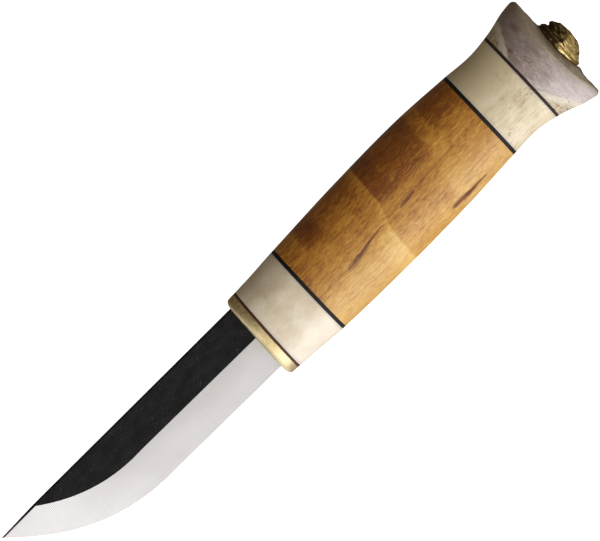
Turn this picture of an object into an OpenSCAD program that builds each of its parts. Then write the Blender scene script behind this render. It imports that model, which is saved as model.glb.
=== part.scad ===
// Nordic belt knife: a hidden-tang blade in a stacked handle of antler and curly birch.
// The knife lies on its side. X runs along the handle, with the blade's tip towards -X,
// Y points from the cutting edge to the spine, and Z is the thickness. The origin is on
// the bolster's front face, level with the middle of the handle there.

/* [Blade] */
// Length of the blade in front of the bolster
blade_len = 81; // [70:1:95]
// Height of the blade at the bolster, from edge to spine
blade_h = 19.2; // [18:0.1:20]
// Height of the spine above the origin, at the bolster
spine_y = 10.15; // [9.5:0.05:10.4]
// Thickness of the blade's flats
blade_t = 3; // [2.9:0.1:4]
// Width of the ground bevel on the straight part of the edge
bevel_w = 9.5; // [7.5:0.1:10]
// Chamfer along both corners of the spine
spine_chamfer = 0.6; // [0.2:0.1:0.8]

/* [Tang] */
// Width of the tang at the bolster
tang_w = 6.5; // [5:0.1:6.6]
// Width of the tang where it turns into the round rivet shank
tang_end_w = 4.5; // [3.5:0.1:5.5]
// Thickness of the tang, a little under the blade's
tang_t = 2.8; // [2.2:0.1:2.8]
// Height of the tang's end above the origin
tang_end_y = 2.7; // [2:0.1:3.2]
// Radius of the round rivet shank at the tang's end
shank_r = 1.4; // [1.2:0.1:1.4]
// Radius of the channel drilled through the handle
channel_r = 4.2; // [4:0.1:5]

/* [Handle blocks] */
// Thickness of the brass bolster
bolster_t = 2.9; // [2:0.1:4]
// Thickness of the brown liner behind the bolster
front_liner_t = 0.7; // [0.5:0.1:1.2]
// Length of the front antler block
front_antler_len = 13.7; // [10:0.1:20]
// Thickness of each black spacer
spacer_t = 1; // [0.5:0.1:1.5]
// Length of the birch grip
birch_len = 59.8; // [50:0.1:70]
// Length of the rear antler block
rear_antler_len = 13.2; // [10:0.1:20]
// Thickness of the brown liner in front of the butt
butt_liner_t = 0.8; // [0.5:0.1:1.2]
// Length of the antler butt
butt_len = 11.5; // [9:0.1:12]
// Angle that the bolster leans back at the spine, in degrees
bolster_lean = 1.6; // [0:0.1:3]

/* [Handle section] */
// Width of the handle at the bolster, from belly to spine side
front_w = 24.2; // [23.5:0.1:26]
// Width of the handle at the grip
grip_w = 27.7; // [25:0.1:31]
// Width of the handle at the neck
neck_w = 25.1; // [22:0.1:28]
// Width of the flared butt's end
butt_w = 32.4; // [28:0.1:36]
// Thickness of the handle at the bolster
front_t = 17.4; // [15:0.1:20]
// Thickness of the handle at the grip
grip_t = 21; // [18:0.1:24]
// Thickness of the handle at the neck
neck_t = 18.4; // [16:0.1:22]
// Thickness of the butt's end
butt_t = 19.6; // [17:0.1:23]
// How far the handle's middle line climbs towards the spine
grip_rise = 2.5; // [0:0.1:3]
// Exponent of the rounded oval section: 2 is an ellipse, more is squarer
oval_power = 2.2; // [2:0.1:2.8]

/* [Butt end and cap] */
// How far the butt's end surface falls away towards its two sides
end_fall = 2.9; // [1.5:0.1:3.5]
// Width of the cap where it sits on the butt
cap_w = 13.6; // [12:0.1:15]
// Thickness of the cap where it sits on the butt
cap_t = 11.8; // [10:0.1:13]
// Height of the cap above the butt's end
cap_h = 4.9; // [3.5:0.1:6]
// Thickness of the rivet washer
washer_t = 1; // [0.6:0.1:1.2]
// Radius of the washer's recess in the butt
recess_r = 4; // [3.8:0.1:4.4]

/* [Hidden] */
$fn = 64;

// Where each seam lies along the handle
liner_x = bolster_t;
antler_x = liner_x + front_liner_t;
spacer_x = antler_x + front_antler_len;
birch_x = spacer_x + spacer_t;
rear_spacer_x = birch_x + birch_len;
rear_antler_x = rear_spacer_x + spacer_t;
butt_liner_x = rear_antler_x + rear_antler_len;
butt_x = butt_liner_x + butt_liner_t;
end_x = butt_x + butt_len;

// Rim of the bolster and corners of the butt: how far each rounding runs and cuts in
bolster_round = [1.1, 1.6];
butt_round = [1.7, 1.5];
// Facets round the handle, and the longest step between its rings
sides = 72;
ring_step = 3;
lean = tan(bolster_lean);

// The butt's end is part of a cylinder that lies across the handle
end_r = (pow(butt_t / 2, 2) + pow(end_fall, 2)) / (2 * end_fall);
// Rivet: the recess's floor, the washer's top, the head's height and its lower radius
recess_floor_x = end_x - 2.4;
washer_top_x = recess_floor_x + washer_t;
rivet_h = 1.1;
rivet_r = 2.3;
shank_len = 14;
tang_bar_x = end_x - shank_len;
shank_hole_r = shank_r + 0.6;
// The tang's lower side runs just above the grind line, where the blade is at full thickness
grind_y = spine_y - blade_h + bevel_w;
tang_y = grind_y + 0.1 + tang_w / 2;
tang_fall = atan((tang_y - tang_end_y) / end_x);
// Play around the tang in its slot, and around the cap's spigot
slot_play = 0.05;
spigot_play = 0.1;
spigot_wall = 1.1;
// How far the cap's middle lies above the tang's end
cap_offset = -0.4;

// Corners of the blade: the spine, the tip, and the edge with its curved belly
spine_heel = [0, spine_y];
spine_bend = [-0.856 * blade_len, spine_y - 1.8];
tip = [-blade_len, spine_y - 2.45];
edge_heel = [0, spine_y - blade_h];
belly = [[-0.494 * blade_len, edge_heel.y - 0.73], [-0.716 * blade_len, edge_heel.y - 1.05],
         [-0.87 * blade_len, spine_y - 0.643 * blade_h], tip];
// The flat's upper border runs below the spine by the chamfer and meets it at the tip
flat_heel = spine_heel - [0, spine_chamfer];
flat_bend = spine_bend - [0, spine_chamfer];
belly_steps = 28;
tip_steps = 8;

function mix(a, b, k) = a + (b - a) * k;
function cut_line(p, d, q, e) = p + d * cross(q - p, e) / cross(d, e);

// ---- Blade ----

function bezier(p, u) =
    pow(1 - u, 3) * p[0] + 3 * u * pow(1 - u, 2) * p[1]
    + 3 * u * u * (1 - u) * p[2] + pow(u, 3) * p[3];
function bezier_dir(p, u) =
    let (d = pow(1 - u, 2) * (p[1] - p[0]) + 2 * u * (1 - u) * (p[2] - p[1])
             + u * u * (p[3] - p[2]))
    d / norm(d);
function inward(u) = let (d = bezier_dir(belly, u)) [d.y, -d.x];
// The belly's point that faces a given point squarely, found by halving
function foot(p, low = 0, high = 1, turns = 24) =
    let (u = (low + high) / 2)
    turns == 0 ? u
    : (p - bezier(belly, u)) * bezier_dir(belly, u) > 0 ? foot(p, u, high, turns - 1)
    : foot(p, low, u, turns - 1);
function on_heel(p, d) = p + d * (lean * p.y - p.x) / (d.x - lean * d.y);
function lift(p, z) = [p.x, p.y, z];

module ground_blade() {
    run_u = foot(flat_bend);
    run_w = norm(flat_bend - bezier(belly, run_u));
    heel_dir = bezier_dir(belly, 0);
    bevel_start = bezier(belly, 0) + inward(0) * bevel_w;
    half = blade_t / 2;

    // From the heel to the run-out: edge below, grind line above
    low_us = [for (i = [0:belly_steps]) run_u * i / belly_steps];
    edge_low = concat([on_heel(belly[0], heel_dir)], [for (u = low_us) bezier(belly, u)]);
    grind_low = concat([on_heel(bevel_start, heel_dir)],
                       [for (u = low_us)
                           let (w = mix(bevel_w, run_w, u / run_u))
                           bezier(belly, u) + inward(u) * w]);
    // From the run-out to the tip: the bevel reaches the spine's chamfer
    tip_us = [for (i = [1:tip_steps - 1]) mix(run_u, 1, i / tip_steps)];
    edge_tip = [for (u = tip_us) bezier(belly, u)];
    grind_tip = [for (u = tip_us) cut_line(bezier(belly, u), inward(u), flat_bend, tip - flat_bend)];
    spine_tip = [for (g = grind_tip)
                    mix(spine_bend, tip, norm(g - flat_bend) / norm(tip - flat_bend))];

    edge = concat(edge_low, edge_tip);
    grind = concat(grind_low, grind_tip);
    half_at = concat([for (g = grind_low) half],
                     [for (i = [0:len(tip_us) - 1]) half * norm(grind_tip[i] - edge_tip[i]) / run_w]);
    spine = concat([on_heel(spine_heel, spine_bend - spine_heel), spine_bend], spine_tip);
    spine_half = concat([half - spine_chamfer / 2, half - spine_chamfer / 2],
                        [for (i = [0:len(tip_us) - 1])
                            half_at[len(grind_low) + i] * (1 - spine_chamfer / blade_t)]);
    flat_corner = on_heel(flat_heel, flat_bend - flat_heel);

    // Vertex numbers: edge, grind line on each side, spine on each side, heel corners, tip
    n = len(edge);
    m = len(spine);
    run = len(grind_low) - 1;
    g = [n, 2 * n];
    s = [3 * n, 3 * n + m];
    c = [3 * n + 2 * m, 3 * n + 2 * m + 1];
    t = 3 * n + 2 * m + 2;
    points = concat([for (p = edge) lift(p, 0)],
                    [for (i = [0:n - 1]) lift(grind[i], half_at[i])],
                    [for (i = [0:n - 1]) lift(grind[i], -half_at[i])],
                    [for (i = [0:m - 1]) lift(spine[i], spine_half[i])],
                    [for (i = [0:m - 1]) lift(spine[i], -spine_half[i])],
                    [lift(flat_corner, half), lift(flat_corner, -half), lift(tip, 0)]);
    // Faces of the upper side, wound clockwise as seen from outside
    function side_faces(g, s, c) = concat(
        [concat([for (i = [0:run]) g + i], [c])],
        [[c, g + run, s + 1], [c, s + 1, s]],
        [for (i = [0:n - 2]) [i, i + 1, g + i + 1]],
        [for (i = [0:n - 2]) [i, g + i + 1, g + i]],
        [for (i = [1:m - 2]) [g + run + i - 1, g + run + i, s + i + 1]],
        [for (i = [1:m - 2]) [g + run + i - 1, s + i + 1, s + i]],
        [[n - 1, t, g + n - 1], [g + n - 1, t, s + m - 1]]);
    function turned(face) = [for (i = [len(face) - 1:-1:0]) face[i]];
    faces = concat(side_faces(g[0], s[0], c[0]),
                   [for (f = side_faces(g[1], s[1], c[1])) turned(f)],
                   [[0, g[0], c[0], s[0], s[1], c[1], g[1]]],
                   [for (i = [0:m - 2]) [s[0] + i, s[0] + i + 1, s[1] + i + 1, s[1] + i]],
                   [[s[0] + m - 1, t, s[1] + m - 1]]);
    polyhedron(points, faces, convexity = 4);
}

module on_tang_axis() translate([0, tang_y, 0]) rotate([0, 0, -tang_fall]) children();
// A round bar along the tang's axis, between two places on it
module axis_bar(x0, x1, r0, r1) {
    on_tang_axis() translate([x0, 0, 0]) rotate([0, 90, 0]) cylinder(h = x1 - x0, r1 = r0, r2 = r1);
}

// The flat bar of the tang, with its root inside the blade's flats
module tang_bar(play = 0) {
    root_len = 4;
    back_len = tang_bar_x + root_len;
    front_half = tang_w / 2 + play;
    back_half = tang_end_w / 2 + play;
    on_tang_axis() translate([-root_len, 0, 0]) linear_extrude(tang_t + 2 * play, center = true)
        polygon([[0, -front_half], [root_len, -front_half], [back_len, -back_half],
                 [back_len, back_half], [root_len, front_half], [0, front_half]]);
}

// ---- Handle loft ----

function stations(front, grip, neck, butt) = [
    [0, front], [0.08, mix(front, grip, 0.23)], [0.17, mix(front, grip, 0.6)],
    [0.38, grip], [0.59, grip], [0.745, mix(grip, neck, 0.65)], [0.83, neck],
    [0.9, mix(neck, butt, 0.31)], [0.955, mix(neck, butt, 0.77)], [1, butt]];
widths = stations(front_w, grip_w, neck_w, butt_w);
thicks = stations(front_t, grip_t, neck_t, butt_t);
rises = [[0, 0], [0.17, 0.12 * grip_rise], [0.38, 0.48 * grip_rise], [0.59, 0.84 * grip_rise],
         [0.745, grip_rise], [0.83, grip_rise], [0.9, 0.92 * grip_rise], [1, 0.76 * grip_rise]];

// A smooth curve through the stations, with its slope at each taken from its neighbours
function slope(st, i) =
    let (a = max(i - 1, 0), b = min(i + 1, len(st) - 1))
    (st[b][1] - st[a][1]) / (st[b][0] - st[a][0]);
function span(st, f, i = 0) = i >= len(st) - 2 || f <= st[i + 1][0] ? i : span(st, f, i + 1);
function along(st, x) =
    let (f = x / end_x, i = span(st, f), run = st[i + 1][0] - st[i][0], t = (f - st[i][0]) / run,
         t2 = t * t, t3 = t2 * t)
    (2 * t3 - 3 * t2 + 1) * st[i][1] + (t3 - 2 * t2 + t) * run * slope(st, i)
    + (3 * t2 - 2 * t3) * st[i + 1][1] + (t3 - t2) * run * slope(st, i + 1);

function rounded(v) = sign(v) * pow(abs(v), 2 / oval_power);
function skin_point(x, a, inset) = [
    x,
    along(rises, x) + (along(widths, x) / 2 - inset) * rounded(cos(a)),
    (along(thicks, x) / 2 - inset) * rounded(sin(a))];
// A point of a ring whose plane leans back at the spine
function leaning_point(x, k, a, inset) =
    let (p = skin_point(x, a, inset), q = skin_point(x + k * p.y, a, inset))
    [x + k * q.y, q.y, q.z];
function ring(x, k, inset) =
    [for (i = [0:sides - 1]) leaning_point(x, k, 360 * i / sides, inset)];

// A closed solid through a list of rings, from front to back
module loft(rings) {
    count = len(rings);
    function at(r, i) = r * sides + i % sides;
    walls = [for (r = [0:count - 2], i = [0:sides - 1], half = [0, 1])
                half == 0 ? [at(r, i), at(r, i + 1), at(r + 1, i + 1)]
                          : [at(r, i), at(r + 1, i + 1), at(r + 1, i)]];
    front = [for (i = [sides - 1:-1:0]) at(0, i)];
    back = [for (i = [0:sides - 1]) at(count - 1, i)];
    polyhedron([for (r = rings) each r], concat([front, back], walls), convexity = 4);
}

function steps(x0, x1) = max(1, ceil((x1 - x0) / ring_step));
function block_rings(x0, x1, k0 = 0, k1 = 0) =
    let (n = steps(x0, x1)) [for (i = [0:n]) ring(mix(x0, x1, i / n), mix(k0, k1, i / n), 0)];
module block(x0, x1, k0 = 0, k1 = 0) loft(block_rings(x0, x1, k0, k1));
// A block with the round channel for the tang drilled through it
module drilled_block(x0, x1, k0 = 0, k1 = 0) {
    difference() {
        block(x0, x1, k0, k1);
        axis_bar(x0 - 2, x1 + 2, channel_r, channel_r);
    }
}

// Rings of a quarter-round rim: size gives its run along X and its cut into the section
rim_steps = 5;
function rim_rings(x, size, way, k) =
    [for (i = [0:rim_steps])
        let (a = 90 * i / rim_steps)
        ring(x - way * size[0] * (1 - sin(a)), k, size[1] * (1 - cos(a)))];
function reversed(list) = [for (i = [len(list) - 1:-1:0]) list[i]];

// ---- Sub-parts ----

module blade() {
    color("#4a4a4c") union() {
        ground_blade();
        tang_bar();
        axis_bar(tang_bar_x - 1, washer_top_x, shank_r, shank_r);
        axis_bar(washer_top_x, washer_top_x + rivet_h, rivet_r, rivet_r - 0.9);
    }
}

module bolster() {
    color("#b39a52") difference() {
        loft(concat(reversed(rim_rings(0, bolster_round, -1, lean)), [ring(liner_x, lean, 0)]));
        tang_bar(slot_play);
    }
}

module front_liner() {
    color("#3d2723") difference() {
        block(liner_x, antler_x, lean, lean);
        tang_bar(slot_play);
    }
}

module front_antler() {
    color("#d9cfb8") drilled_block(antler_x, spacer_x, lean, 0);
}

module front_spacer() {
    color("#161618") drilled_block(spacer_x, birch_x);
}

module birch_grip() {
    color("#bd823c") drilled_block(birch_x, rear_spacer_x);
}

module rear_spacer() {
    color("#161618") drilled_block(rear_spacer_x, rear_antler_x);
}

module rear_antler() {
    color("#d4c9ac") drilled_block(rear_antler_x, butt_liner_x);
}

module butt_liner() {
    color("#3d2723") drilled_block(butt_liner_x, butt_x);
}

// A bar across the handle whose round face is the butt's end surface
module end_dome() {
    dome_len = 60;
    translate([end_x - end_r, 0, 0]) rotate([90, 0, 0])
        cylinder(h = dome_len, r = end_r, center = true, $fn = 160);
}

module antler_butt() {
    body = block_rings(butt_x, end_x - butt_round[0]);
    rim = rim_rings(end_x, butt_round, 1, 0);
    color("#a1929a") difference() {
        intersection() {
            loft(concat(body, [for (i = [1:rim_steps]) rim[i]]));
            end_dome();
        }
        axis_bar(butt_x - 2, end_x, shank_hole_r, shank_hole_r);
        axis_bar(recess_floor_x, end_x + 2, recess_r, recess_r);
    }
}

// Cured adhesive: it fills the wide channel, then the narrow hole of the butt
module tang_bedding() {
    clear_of_liner = 40;
    color("#c8b98a") difference() {
        union() {
            axis_bar(liner_x, butt_x, channel_r, channel_r);
            axis_bar(butt_x - 1, recess_floor_x, shank_hole_r, shank_hole_r);
        }
        translate([antler_x, 0, 0]) rotate([0, 0, -bolster_lean])
            translate([-clear_of_liner / 2, 0, 0]) cube(clear_of_liner, center = true);
        tang_bar();
        axis_bar(tang_bar_x - 1, end_x, shank_r, shank_r);
    }
}

module rivet_washer() {
    color("#b39a52") difference() {
        axis_bar(recess_floor_x, washer_top_x, recess_r, recess_r);
        axis_bar(recess_floor_x - 1, washer_top_x + 1, shank_r, shank_r);
    }
}

// ---- Cap: a rough cast dome ----

cap_sides = 36;
cap_levels = 9;
cap_power = 1.75;
cap_mid_y = tang_end_y + cap_offset;
// Uneven casting: a few broad swells and some finer ones, in step round the dome
function swell(a, h) =
    1 + 0.035 * sin(2 * a + 60) + 0.03 * sin(3 * a + 150 * h) + 0.025 * sin(7 * a - 220 * h);
function cap_ring(h, x) =
    let (shrink = h <= 0 ? 1 : pow(1 - pow(h, cap_power), 1 / cap_power))
    [for (i = [0:cap_sides - 1])
        let (a = 360 * i / cap_sides, r = shrink * swell(a, h))
        [x, cap_mid_y + 0.5 * max(h, 0) + cap_w / 2 * r * cos(a), cap_t / 2 * r * sin(a)]];

module cap_dome() {
    levels = [for (i = [0:cap_levels - 1]) sin(90 * i / cap_levels)];
    rings = concat([cap_ring(0, end_x - end_fall)],
                   [for (h = levels) cap_ring(h, end_x + cap_h * h)]);
    top = [end_x + cap_h, cap_mid_y + 0.5, 0];
    count = len(rings);
    function at(r, i) = r * cap_sides + i % cap_sides;
    walls = [for (r = [0:count - 2], i = [0:cap_sides - 1], half = [0, 1])
                half == 0 ? [at(r, i), at(r, i + 1), at(r + 1, i + 1)]
                          : [at(r, i), at(r + 1, i + 1), at(r + 1, i)]];
    base = [for (i = [cap_sides - 1:-1:0]) at(0, i)];
    crown = [for (i = [0:cap_sides - 1]) [at(count - 1, i), at(count - 1, i + 1), count * cap_sides]];
    polyhedron(concat([for (r = rings) each r], [top]), concat([base], walls, crown), convexity = 4);
}

module pommel_cap() {
    spigot_r = recess_r - spigot_play;
    hollow_r = spigot_r - spigot_wall;
    color("#a8893c") difference() {
        cap_dome();
        difference() {
            end_dome();
            axis_bar(washer_top_x, end_x + 2, spigot_r, spigot_r);
        }
        axis_bar(recess_floor_x, washer_top_x + rivet_h + 0.2, hollow_r, hollow_r);
    }
}

blade();
bolster();
front_liner();
front_antler();
front_spacer();
birch_grip();
rear_spacer();
rear_antler();
butt_liner();
antler_butt();
tang_bedding();
rivet_washer();
pommel_cap();
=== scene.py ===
"""Looks of the Nordic belt knife: fine meshes, procedural materials, soft light and the camera.

The knife lies on its side: X runs along the handle with the tip towards -X, Y points from the
cutting edge to the spine, and Z is the thickness. Shapes are worked out in millimetres.
"""

import math

import bmesh
import bpy
import numpy as np
from mathutils import Matrix, Vector, noise


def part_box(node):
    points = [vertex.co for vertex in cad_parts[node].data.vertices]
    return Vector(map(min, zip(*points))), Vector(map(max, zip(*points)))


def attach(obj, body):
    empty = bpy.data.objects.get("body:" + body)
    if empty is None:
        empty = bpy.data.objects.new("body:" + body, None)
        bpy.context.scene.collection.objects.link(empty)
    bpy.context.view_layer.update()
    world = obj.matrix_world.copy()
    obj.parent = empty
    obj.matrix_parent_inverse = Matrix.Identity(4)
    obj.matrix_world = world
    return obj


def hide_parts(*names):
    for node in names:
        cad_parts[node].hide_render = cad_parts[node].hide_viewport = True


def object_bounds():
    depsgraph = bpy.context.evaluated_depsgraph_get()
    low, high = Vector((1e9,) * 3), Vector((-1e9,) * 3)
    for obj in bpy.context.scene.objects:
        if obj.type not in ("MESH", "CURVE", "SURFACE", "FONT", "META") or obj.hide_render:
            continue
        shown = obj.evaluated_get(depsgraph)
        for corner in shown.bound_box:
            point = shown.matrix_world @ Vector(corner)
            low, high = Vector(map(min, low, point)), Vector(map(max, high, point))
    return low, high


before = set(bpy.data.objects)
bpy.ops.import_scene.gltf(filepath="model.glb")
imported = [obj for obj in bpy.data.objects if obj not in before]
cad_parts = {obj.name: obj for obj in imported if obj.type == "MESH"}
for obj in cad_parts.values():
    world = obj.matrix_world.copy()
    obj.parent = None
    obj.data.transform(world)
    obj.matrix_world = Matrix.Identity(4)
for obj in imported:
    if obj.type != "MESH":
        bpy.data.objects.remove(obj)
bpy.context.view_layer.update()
MM = 0.001


def low(node):
    """Lowest corner of a CAD node, in millimetres."""
    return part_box(node)[0] / MM


def high(node):
    """Highest corner of a CAD node, in millimetres."""
    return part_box(node)[1] / MM


# ---- Sizes, in millimetres ----

# The bolster and the brown liner behind it lean back at the spine
LEAN = math.tan(math.radians(1.6))
LINER_X = low("front_liner").x - LEAN * low("front_liner").y
ANTLER_X = high("front_liner").x - LEAN * high("front_liner").y
SPACER_X = low("front_spacer").x
BIRCH_X = low("birch_grip").x
REAR_SPACER_X = low("rear_spacer").x
REAR_ANTLER_X = low("rear_antler").x
BUTT_LINER_X = low("butt_liner").x
BUTT_X = high("butt_liner").x
END_X = high("antler_butt").x

# Handle section: widths along Y, thicknesses along Z, and the climb of its middle line
FRONT_W, GRIP_W, NECK_W, BUTT_W = 24.2, 27.7, 25.1, 32.4
FRONT_T, GRIP_T, NECK_T, BUTT_T = 17.4, 21.0, 18.4, 19.6
GRIP_RISE = 2.5
OVAL_POWER = 2.2
# The handle's skin stays this far inside the CAD model's
SKIN_INSET = 0.03
SIDES = 256
RING_STEP = 0.6

# Rounded rim of the bolster, and the softened corners where blocks meet
RIM_RUN, RIM_CUT = 1.1, 1.6
SEAM_SOFTEN = 0.06
# Butt: fall of its end towards the sides, and the rounding of its horns and of its sides
END_FALL = 2.9
HORN_RUN, HORN_CUT = 1.7, 1.5
SIDE_RUN, SIDE_CUT = 0.9, 0.5
END_R = ((BUTT_T / 2) ** 2 + END_FALL**2) / (2 * END_FALL)
# Unevenness of that end: height, place and radius of a lump, and the height of the saw waves
LUMP_H, LUMP_Y, LUMP_Z, LUMP_R = 0.55, -6.0, 0.5, 1.9
SAW_WAVE = 0.04

# Tang, and what it passes through
TANG_W, TANG_END_W, TANG_T = 6.5, 4.5, 2.8
TANG_Y, TANG_END_Y = 3.8, 2.7
TANG_ROOT = 4.0
TANG_BROKEN = 0.2
SLOT_PLAY = 0.05
SLOT_CORNER_POWER = 14
CHANNEL_R = 4.2
SHANK_R, SHANK_HOLE_R, SHANK_LEN = 1.4, 2.0, 14.0
RECESS_R, RECESS_DEPTH, WASHER_T = 4.0, 2.4, 1.0
RIVET_H, RIVET_R, RIVET_TOP_R = 1.1, 2.3, 1.4

# Blade: the same outlines as the CAD model's
BLADE_LEN = -low("blade").x
BLADE_H, BLADE_T = 19.2, 3.0
SPINE_Y = 10.15
SPINE_CHAMFER = 0.6
BEVEL_W = 9.5
SPINE_BEND = np.array([-0.856 * BLADE_LEN, SPINE_Y - 1.8])
TIP = np.array([-BLADE_LEN, SPINE_Y - 2.45])
EDGE_Y = SPINE_Y - BLADE_H
BELLY = np.array([
    [-0.494 * BLADE_LEN, EDGE_Y - 0.73],
    [-0.716 * BLADE_LEN, EDGE_Y - 1.05],
    [-0.87 * BLADE_LEN, SPINE_Y - 0.643 * BLADE_H],
    TIP,
])
FLAT_BEND = SPINE_BEND - [0, SPINE_CHAMFER]
# A fine second bevel along the cutting edge: its width on the straight and at the tip, and how
# much steeper it stands than the ground bevel
MICRO_W, MICRO_TIP_W = 0.35, 0.75
MICRO_LIFT = 1.12
EDGE_THICKNESS = 0.03
# Rows of points between the borders of bevel and flat, and stations along the blade
BEVEL_SHARES = [0.2, 0.4, 0.6, 0.8]
FLAT_SHARES = [0.33, 0.67]
STRAIGHT_STATIONS, BELLY_STATIONS, POINT_STATIONS = 60, 110, 60
# Spacing of the grinding belt's marks on the bevel
BELT_PITCH = 0.42

# Cap: how far its outline lies from its middle, at several heights, on the edge and spine sides
CAP_MID_Y = TANG_END_Y - 0.4
CAP_MIDDLE = np.array([END_X, CAP_MID_Y, 0.0])
CAP_H = high("pommel_cap").x - END_X
CAP_HALF_T = 5.9
CAP_OUTLINE = np.array([
    # height, edge side, spine side
    [0.00, 7.3, 6.8],
    [0.18, 7.5, 6.3],
    [0.42, 6.2, 5.7],
    [0.6, 5.2, 5.5],
    [0.8, 4.1, 4.4],
    [0.93, 2.9, 3.1],
    [1.00, 0.0, 0.0],
])
# Lumps of the casting: height, size of their features, and seed
CAP_LUMPS = [(0.22, 3.4, 1), (0.14, 1.1, 2)]
# Folds: radians of their wave for each millimetre, depth, and extra depth on the spine side
FOLD_RATE, FOLD_DEPTH, FOLD_SPINE_DEPTH = 5.2, 0.09, 0.2
# A groove, a notch and a pit: depth, distance up the cap, and half width there
GROOVE = (0.42, 1.75, 0.38)
NOTCH = (1.05, 2.2, 0.62)
PIT = (0.6, 2.95, 0.75)
# The middle and the reach of groove and notch across the cap, and the pit's place there
GROOVE_Y, GROOVE_REACH = 2.6, 3.6
NOTCH_DEG, NOTCH_REACH_DEG = 6, 62
PIT_Y = 4.6
# Flat places worn on the cap: a direction, and how far from the cap's middle each lies
CAP_FLATS = [((0.62, -0.5, 0.6), 4.5), ((0.72, 0.12, 0.68), 4.7), ((-0.05, -0.42, 0.9), 5.35)]
# Spigot under the cap: play in the recess, wall, and room above the rivet
SPIGOT_PLAY, SPIGOT_WALL, RIVET_ROOM = 0.1, 1.1, 0.2


# ---- Mesh tools ----

def mix(a, b, k):
    return a + (b - a) * k


def smooth(k):
    k = np.clip(k, 0, 1)
    return k * k * (3 - 2 * k)


def unit(v):
    return v / np.linalg.norm(v)


def unit_rows(rows):
    return rows / np.linalg.norm(rows, axis=1)[:, None]


def hump(distance, radius):
    """A rounded bump: 1 in the middle, 0 from the radius on."""
    return 1 - smooth(np.abs(distance) / radius)


def linked(name, data):
    """A new object in the scene."""
    made = bpy.data.objects.new(name, data)
    bpy.context.scene.collection.objects.link(made)
    return made


def mesh_object(name, points, faces, sharp_deg=32, depths=None):
    """An object from points in millimetres, with doubles merged and faces turned outwards."""
    mesh = bpy.data.meshes.new(name)
    mesh.from_pydata([Vector(p) * MM for p in points], [], faces)
    if depths is not None:
        mesh.attributes.new("depth", "FLOAT", "POINT").data.foreach_set("value", depths)
    work = bmesh.new()
    work.from_mesh(mesh)
    bmesh.ops.remove_doubles(work, verts=work.verts, dist=1e-7)
    bmesh.ops.dissolve_degenerate(work, edges=work.edges, dist=1e-7)
    bmesh.ops.recalc_face_normals(work, faces=work.faces)
    work.to_mesh(mesh)
    work.free()
    mesh.shade_smooth()
    mesh.set_sharp_from_angle(angle=math.radians(sharp_deg))
    return linked(name, mesh)


def ring_faces(count, sides, closed):
    """Quads between neighbouring rings; closed joins the last ring to the first."""
    faces = []
    for r in range(count if closed else count - 1):
        a = r * sides
        b = (r + 1) % count * sides
        faces += [(a + i, a + (i + 1) % sides, b + (i + 1) % sides, b + i) for i in range(sides)]
    return faces


def pipe_object(name, rings):
    """A closed solid with a hole through it: the rings run over the outside and back inside."""
    sides = len(rings[0])
    return mesh_object(name, np.concatenate(rings), ring_faces(len(rings), sides, True))


def plug_object(name, rings, sharp_deg=32, depths=None):
    """A closed solid without a hole: the first and last rings are closed by a fan."""
    sides = len(rings[0])
    points = list(np.concatenate(rings))
    faces = ring_faces(len(rings), sides, False)
    for first, ring in ((0, rings[0]), ((len(rings) - 1) * sides, rings[-1])):
        points.append(ring.mean(0))
        faces += [(first + i, first + (i + 1) % sides, len(points) - 1) for i in range(sides)]
    if depths is not None:
        depths = np.append(np.concatenate(depths), [0, 0])
    return mesh_object(name, points, faces, sharp_deg, depths)


# ---- Handle skin ----

ANGLES = np.arange(SIDES) * 2 * math.pi / SIDES


def stations(front, grip, neck, butt):
    """Fractions of the handle's length, and the width or thickness there."""
    return [
        (0, front), (0.08, mix(front, grip, 0.23)), (0.17, mix(front, grip, 0.6)),
        (0.38, grip), (0.59, grip), (0.745, mix(grip, neck, 0.65)), (0.83, neck),
        (0.9, mix(neck, butt, 0.31)), (0.955, mix(neck, butt, 0.77)), (1, butt),
    ]


WIDTHS = np.array(stations(FRONT_W, GRIP_W, NECK_W, BUTT_W))
THICKS = np.array(stations(FRONT_T, GRIP_T, NECK_T, BUTT_T))
RISES = np.array([
    (0, 0), (0.17, 0.12), (0.38, 0.48), (0.59, 0.84), (0.745, 1), (0.83, 1), (0.9, 0.92), (1, 0.76),
]) * [1, GRIP_RISE]


def along(table, x):
    """A smooth curve through the stations, with its slope at each taken from its neighbours."""
    f, v = table[:, 0], table[:, 1]
    before = np.maximum(np.arange(len(f)) - 1, 0)
    after = np.minimum(np.arange(len(f)) + 1, len(f) - 1)
    slope = (v[after] - v[before]) / (f[after] - f[before])
    k = np.asarray(x) / END_X
    i = np.clip(np.searchsorted(f, k) - 1, 0, len(f) - 2)
    run = f[i + 1] - f[i]
    t = (k - f[i]) / run
    return (
        (2 * t**3 - 3 * t**2 + 1) * v[i] + (t**3 - 2 * t**2 + t) * run * slope[i]
        + (3 * t**2 - 2 * t**3) * v[i + 1] + (t**3 - t**2) * run * slope[i + 1]
    )


def rounded(v):
    return np.sign(v) * np.abs(v) ** (2 / OVAL_POWER)


def skin(x, inset=0.0, lean=0.0, angles=ANGLES):
    """A ring of the handle's outside; lean tilts its plane back at the spine."""
    def at(x):
        half_w = along(WIDTHS, x) / 2 - inset - SKIN_INSET
        half_t = along(THICKS, x) / 2 - inset - SKIN_INSET
        y = along(RISES, x) + half_w * rounded(np.cos(angles))
        return y, half_t * rounded(np.sin(angles))
    x = x + 0 * angles
    y, z = at(x)
    y, z = at(x + lean * y)
    return np.stack([x + lean * y, y, z], 1)


def tang_y(x):
    """Height of the tang's axis, which falls a little towards the butt."""
    return mix(TANG_Y, TANG_END_Y, x / END_X)


def round_hole(x, radius, lean=0.0, angles=ANGLES):
    y = tang_y(x) + radius * np.cos(angles)
    return np.stack([x + lean * y, y, radius * np.sin(angles)], 1)


def channel(x, lean=0.0):
    """A ring of the drilled channel that the bedding fills."""
    return round_hole(x, CHANNEL_R, lean)


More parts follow.
